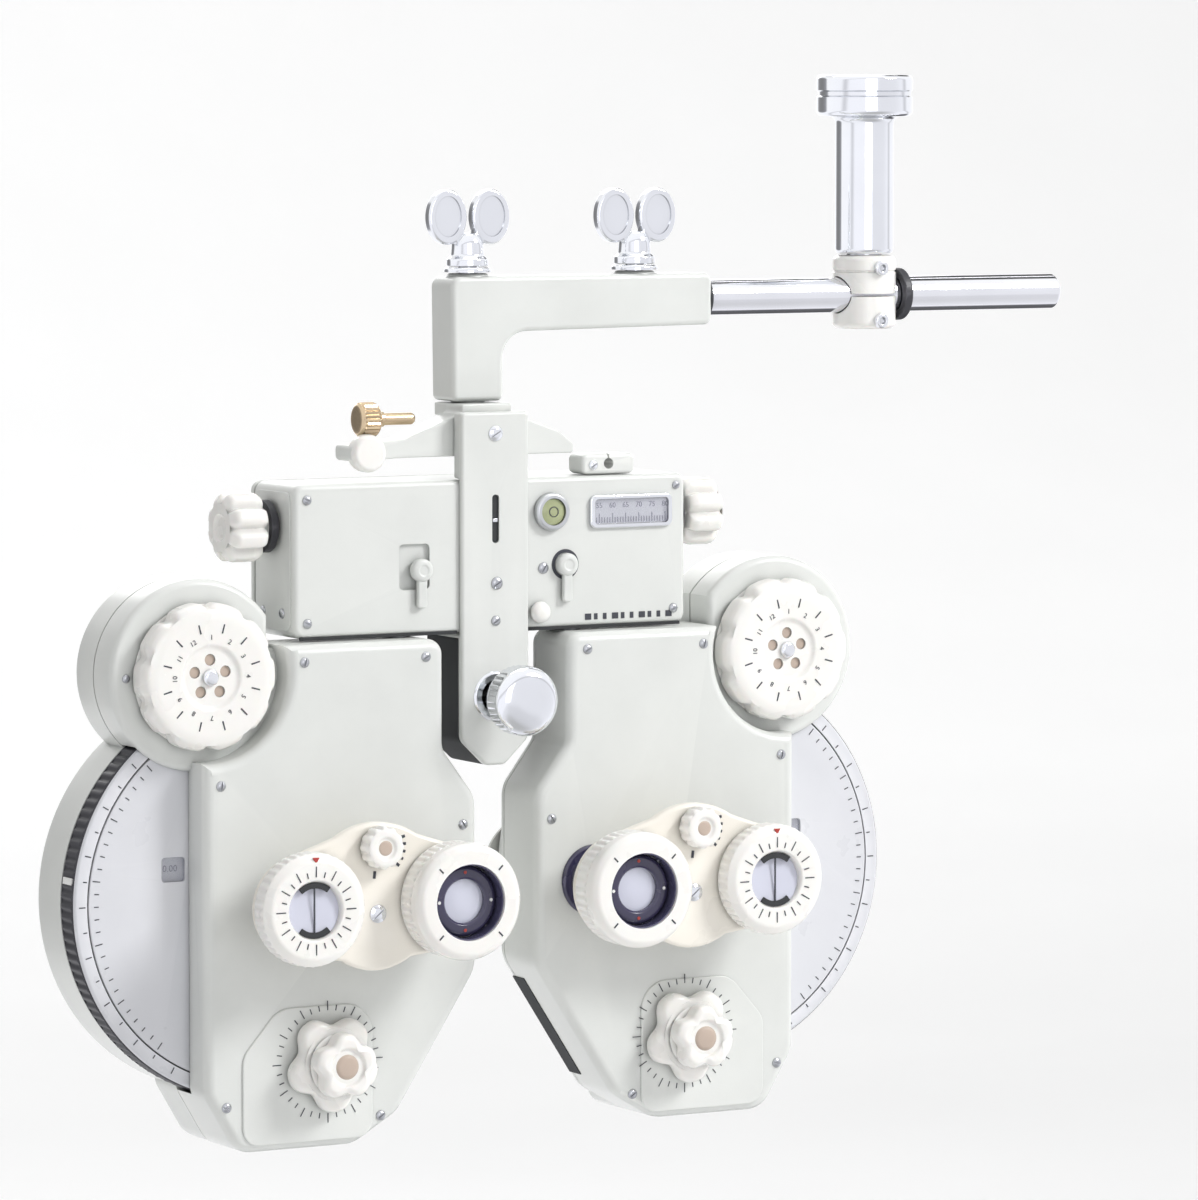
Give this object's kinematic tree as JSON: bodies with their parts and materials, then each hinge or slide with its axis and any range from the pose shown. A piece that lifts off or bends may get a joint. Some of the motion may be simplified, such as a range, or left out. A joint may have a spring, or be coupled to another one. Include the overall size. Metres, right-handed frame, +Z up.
{
  "type": "phoropter",
  "caption": "Manual refractor head: two lens batteries with dials, cross cylinders and rotary prisms under a levelling beam, hung from a rod by an L bracket.",
  "frame": {"origin": "centre of the drop spindle's top face, where the stand's arm holds the instrument", "axes": "+Z up out of the spindle's top face; +X to the right as the examiner sees it, along the hanger rod; -Y is the examiner's side, +Y the patient's side"},
  "size_m": [0.3795, 0.088, 0.3465],
  "materials": {
    "body_enamel": "light grey baked enamel with a faint green tint, semi-gloss",
    "knob_white": "white moulded knobs and rings",
    "dial_face": "pale lilac-white dial plate",
    "chrome": "bright chrome plate",
    "black_grip": "black knurled rim",
    "dark_bezel": "dark navy lens barrel",
    "steel": "ground steel",
    "aluminium": "machined aluminium",
    "brass": "turned brass",
    "scale_window": "clear window over a printed scale",
    "pad": "light grey contact pads"
  },
  "bodies": {
    "hanger": {"drop_spindle": "chrome", "hanger_cross_block": "knob_white"},
    "rod": {"hanger_rod": "chrome"},
    "bracket": {"suspension_bracket": "body_enamel"},
    "swivel_wing": {"wing_screw_swivel": "chrome"},
    "rod_wing": {"wing_screw_rod": "chrome"},
    "yoke": {"swivel_post": "body_enamel"},
    "level_screw": {"level_knob": "brass"},
    "head": {"center_column": "body_enamel", "beam_housing": "body_enamel", "beam_rear_cover": "body_enamel", "pd_guide_rail": "steel", "pd_scale_window": "scale_window", "spirit_level": "aluminium", "near_rod_holder": "body_enamel"},
    "pd_screw": {"pd_lead_screw": "steel", "pd_knob_right": "knob_white", "pd_knob_left": "knob_white"},
    "rest": {"forehead_rest": "pad"},
    "rest_knob": {"forehead_knob": "chrome"},
    "carriage_right": {"carriage_right": "steel"},
    "battery_right": {"front_cover_right": "body_enamel", "rear_cover_right": "body_enamel", "main_axle_right": "steel", "dial_plate_right": "dial_face", "face_shield_right": "pad"},
    "wheel_right": {"sphere_wheel_right": "black_grip", "weak_sphere_disc_right": "aluminium"},
    "strong_disc_right": {"strong_sphere_disc_right": "aluminium"},
    "aux_disc_right": {"aux_lens_disc_right": "aluminium"},
    "aux_dial_right": {"aux_knob_right": "knob_white"},
    "cyl_disc_right": {"cylinder_disc_right": "brass"},
    "cyl_power_right": {"cylinder_power_knob_right": "knob_white"},
    "cyl_axis_right": {"cylinder_axis_knob_right": "knob_white"},
    "turret_right": {"turret_arm_right": "knob_white"},
    "loupe_right": {"jcc_ring_right": "knob_white"},
    "loupe_barrel_right": {"jcc_lens_right": "dark_bezel"},
    "loupe_knob_right": {"jcc_knob_right": "knob_white"},
    "prism_right": {"prism_ring_right": "knob_white"},
    "lever_right": {"vergence_lever_right": "chrome"},
    "carriage_left": {"carriage_left": "steel"},
    "battery_left": {"front_cover_left": "body_enamel", "rear_cover_left": "body_enamel", "main_axle_left": "steel", "dial_plate_left": "dial_face", "face_shield_left": "pad"},
    "wheel_left": {"sphere_wheel_left": "black_grip", "weak_sphere_disc_left": "aluminium"},
    "strong_disc_left": {"strong_sphere_disc_left": "aluminium"},
    "aux_disc_left": {"aux_lens_disc_left": "aluminium"},
    "aux_dial_left": {"aux_knob_left": "knob_white"},
    "cyl_disc_left": {"cylinder_disc_left": "brass"},
    "cyl_power_left": {"cylinder_power_knob_left": "knob_white"},
    "cyl_axis_left": {"cylinder_axis_knob_left": "knob_white"},
    "turret_left": {"turret_arm_left": "knob_white"},
    "loupe_left": {"jcc_ring_left": "knob_white"},
    "loupe_barrel_left": {"jcc_lens_left": "dark_bezel"},
    "loupe_knob_left": {"jcc_knob_left": "knob_white"},
    "prism_left": {"prism_ring_left": "knob_white"},
    "lever_left": {"vergence_lever_left": "chrome"}
  },
  "joints": [
    {"name": "rod_slide", "type": "slide", "parent": "hanger", "child": "rod", "axis": [1, 0, 0], "range_m": [-0.06, 0.045]},
    {"name": "bracket_swing", "type": "hinge", "parent": "rod", "child": "bracket", "pos_m": [-0.1076, 0, -0.0745], "axis": [1, 0, 0], "range_deg": [-45, 45]},
    {"name": "swivel_wing_turn", "type": "hinge", "parent": "bracket", "child": "swivel_wing", "pos_m": [-0.1526, 0, -0.066], "axis": [0, 0, 1], "range_deg": [0, 180]},
    {"name": "rod_wing_turn", "type": "hinge", "parent": "bracket", "child": "rod_wing", "pos_m": [-0.0896, 0, -0.066], "axis": [0, 0, 1], "range_deg": [0, 180]},
    {"name": "head_swivel", "type": "hinge", "parent": "bracket", "child": "yoke", "pos_m": [-0.1526, 0, -0.107], "axis": [0, 0, 1], "range_deg": [-90, 90]},
    {"name": "head_level", "type": "hinge", "parent": "yoke", "child": "head", "pos_m": [-0.1526, 0, -0.117], "axis": [0, 1, 0], "range_deg": [-2.5, 2.5]},
    {"name": "level_knob_turn", "type": "hinge", "parent": "yoke", "child": "level_screw", "pos_m": [-0.1901, -0.0075, -0.112], "axis": [-1, 0, 0], "range_deg": [-120, 120]},
    {"name": "pd_slide_right", "type": "slide", "parent": "head", "child": "carriage_right", "axis": [-1, 0, 0], "range_m": [-0.007, 0.007]},
    {"name": "pd_slide_left", "type": "slide", "parent": "head", "child": "carriage_left", "axis": [1, 0, 0], "range_m": [-0.007, 0.007]},
    {"name": "pd_screw_turn", "type": "hinge", "parent": "head", "child": "pd_screw", "pos_m": [-0.1526, -0.0015, -0.146], "axis": [1, 0, 0], "range_deg": [-316, 316]},
    {"name": "forehead_slide", "type": "slide", "parent": "head", "child": "rest", "axis": [0, 1, 0], "range_m": [-0.008, 0.008]},
    {"name": "forehead_knob_turn", "type": "hinge", "parent": "head", "child": "rest_knob", "pos_m": [-0.1526, -0.032, -0.2033], "axis": [0, -1, 0], "range_deg": [-722, 722]},
    {"name": "vergence_right", "type": "hinge", "parent": "carriage_right", "child": "battery_right", "pos_m": [-0.1846, -0.0105, -0.182], "axis": [0, 0, 1], "range_deg": [0, 4.6]},
    {"name": "lever_turn_right", "type": "hinge", "parent": "head", "child": "lever_right", "pos_m": [-0.1796, -0.0178, -0.161], "axis": [0, 1, 0], "range_deg": [0, 40.1]},
    {"name": "sphere_turn_right", "type": "hinge", "parent": "battery_right", "child": "wheel_right", "pos_m": [-0.2366, -0.0055, -0.265], "axis": [0, -1, 0], "continuous": true},
    {"name": "strong_turn_right", "type": "hinge", "parent": "battery_right", "child": "strong_disc_right", "pos_m": [-0.2366, -0.0055, -0.265], "axis": [0, -1, 0], "continuous": true},
    {"name": "aux_disc_turn_right", "type": "hinge", "parent": "battery_right", "child": "aux_disc_right", "pos_m": [-0.2366, -0.0055, -0.265], "axis": [0, -1, 0], "continuous": true},
    {"name": "aux_knob_turn_right", "type": "hinge", "parent": "battery_right", "child": "aux_dial_right", "pos_m": [-0.2596, -0.0055, -0.192], "axis": [0, -1, 0], "continuous": true},
    {"name": "cylinder_turn_right", "type": "hinge", "parent": "battery_right", "child": "cyl_disc_right", "pos_m": [-0.2111, -0.0055, -0.265], "axis": [0, -1, 0], "continuous": true},
    {"name": "cylinder_power_turn_right", "type": "hinge", "parent": "battery_right", "child": "cyl_power_right", "pos_m": [-0.2191, -0.0055, -0.3184], "axis": [0, -1, 0], "continuous": true},
    {"name": "cylinder_axis_turn_right", "type": "hinge", "parent": "battery_right", "child": "cyl_axis_right", "pos_m": [-0.2191, -0.0055, -0.3184], "axis": [0, -1, 0], "continuous": true},
    {"name": "turret_turn_right", "type": "hinge", "parent": "battery_right", "child": "turret_right", "pos_m": [-0.2111, -0.0055, -0.265], "axis": [0, -1, 0], "range_deg": [0, 180]},
    {"name": "loupe_turn_right", "type": "hinge", "parent": "turret_right", "child": "loupe_right", "pos_m": [-0.1846, -0.0055, -0.265], "axis": [0, -1, 0], "continuous": true},
    {"name": "loupe_flip_right", "type": "hinge", "parent": "loupe_right", "child": "loupe_barrel_right", "pos_m": [-0.1846, -0.0557, -0.265], "axis": [-0.7071, 0, 0.7071], "continuous": true},
    {"name": "loupe_knob_turn_right", "type": "hinge", "parent": "turret_right", "child": "loupe_knob_right", "pos_m": [-0.2114, -0.0055, -0.2467], "axis": [0, -1, 0], "continuous": true},
    {"name": "prism_turn_right", "type": "hinge", "parent": "turret_right", "child": "prism_right", "pos_m": [-0.2376, -0.0055, -0.265], "axis": [0, -1, 0], "continuous": true},
    {"name": "vergence_left", "type": "hinge", "parent": "carriage_left", "child": "battery_left", "pos_m": [-0.1206, -0.0105, -0.182], "axis": [0, 0, -1], "range_deg": [0, 4.6]},
    {"name": "lever_turn_left", "type": "hinge", "parent": "head", "child": "lever_left", "pos_m": [-0.1256, -0.0178, -0.161], "axis": [0, 1, 0], "range_deg": [-40.1, 0]},
    {"name": "sphere_turn_left", "type": "hinge", "parent": "battery_left", "child": "wheel_left", "pos_m": [-0.0686, -0.0055, -0.265], "axis": [0, -1, 0], "continuous": true},
    {"name": "strong_turn_left", "type": "hinge", "parent": "battery_left", "child": "strong_disc_left", "pos_m": [-0.0686, -0.0055, -0.265], "axis": [0, -1, 0], "continuous": true},
    {"name": "aux_disc_turn_left", "type": "hinge", "parent": "battery_left", "child": "aux_disc_left", "pos_m": [-0.0686, -0.0055, -0.265], "axis": [0, -1, 0], "continuous": true},
    {"name": "aux_knob_turn_left", "type": "hinge", "parent": "battery_left", "child": "aux_dial_left", "pos_m": [-0.0456, -0.0055, -0.192], "axis": [0, -1, 0], "continuous": true},
    {"name": "cylinder_turn_left", "type": "hinge", "parent": "battery_left", "child": "cyl_disc_left", "pos_m": [-0.0941, -0.0055, -0.265], "axis": [0, -1, 0], "continuous": true},
    {"name": "cylinder_power_turn_left", "type": "hinge", "parent": "battery_left", "child": "cyl_power_left", "pos_m": [-0.0861, -0.0055, -0.3184], "axis": [0, -1, 0], "continuous": true},
    {"name": "cylinder_axis_turn_left", "type": "hinge", "parent": "battery_left", "child": "cyl_axis_left", "pos_m": [-0.0861, -0.0055, -0.3184], "axis": [0, -1, 0], "continuous": true},
    {"name": "turret_turn_left", "type": "hinge", "parent": "battery_left", "child": "turret_left", "pos_m": [-0.0941, -0.0055, -0.265], "axis": [0, 1, 0], "range_deg": [0, 180]},
    {"name": "loupe_turn_left", "type": "hinge", "parent": "turret_left", "child": "loupe_left", "pos_m": [-0.1206, -0.0055, -0.265], "axis": [0, -1, 0], "continuous": true},
    {"name": "loupe_flip_left", "type": "hinge", "parent": "loupe_left", "child": "loupe_barrel_left", "pos_m": [-0.1206, -0.0557, -0.265], "axis": [0.7071, 0, 0.7071], "continuous": true},
    {"name": "loupe_knob_turn_left", "type": "hinge", "parent": "turret_left", "child": "loupe_knob_left", "pos_m": [-0.0938, -0.0055, -0.2467], "axis": [0, -1, 0], "continuous": true},
    {"name": "prism_turn_left", "type": "hinge", "parent": "turret_left", "child": "prism_left", "pos_m": [-0.0676, -0.0055, -0.265], "axis": [0, -1, 0], "continuous": true}
  ],
  "couplings": [
    {"joint": "level_knob_turn", "follows": "head_level", "ratio": 48},
    {"joint": "pd_slide_left", "follows": "pd_slide_right", "ratio": 1},
    {"joint": "pd_screw_turn", "follows": "pd_slide_right", "rad_per_m": 785.4},
    {"joint": "forehead_knob_turn", "follows": "forehead_slide", "rad_per_m": 1570.8},
    {"joint": "strong_turn_right", "follows": "sphere_turn_right", "ratio": 0.083333},
    {"joint": "aux_knob_turn_right", "follows": "aux_disc_turn_right", "ratio": -4},
    {"joint": "cylinder_power_turn_right", "follows": "cylinder_turn_right", "ratio": -2},
    {"joint": "loupe_knob_turn_right", "follows": "loupe_flip_right", "ratio": 1},
    {"joint": "strong_turn_left", "follows": "sphere_turn_left", "ratio": 0.083333},
    {"joint": "aux_knob_turn_left", "follows": "aux_disc_turn_left", "ratio": -4},
    {"joint": "cylinder_power_turn_left", "follows": "cylinder_turn_left", "ratio": -2},
    {"joint": "loupe_knob_turn_left", "follows": "loupe_flip_left", "ratio": 1},
    {"joint": "vergence_left", "follows": "vergence_right", "ratio": 1},
    {"joint": "lever_turn_right", "follows": "vergence_right", "ratio": 8.7},
    {"joint": "lever_turn_left", "follows": "vergence_right", "ratio": -8.7}
  ]
}
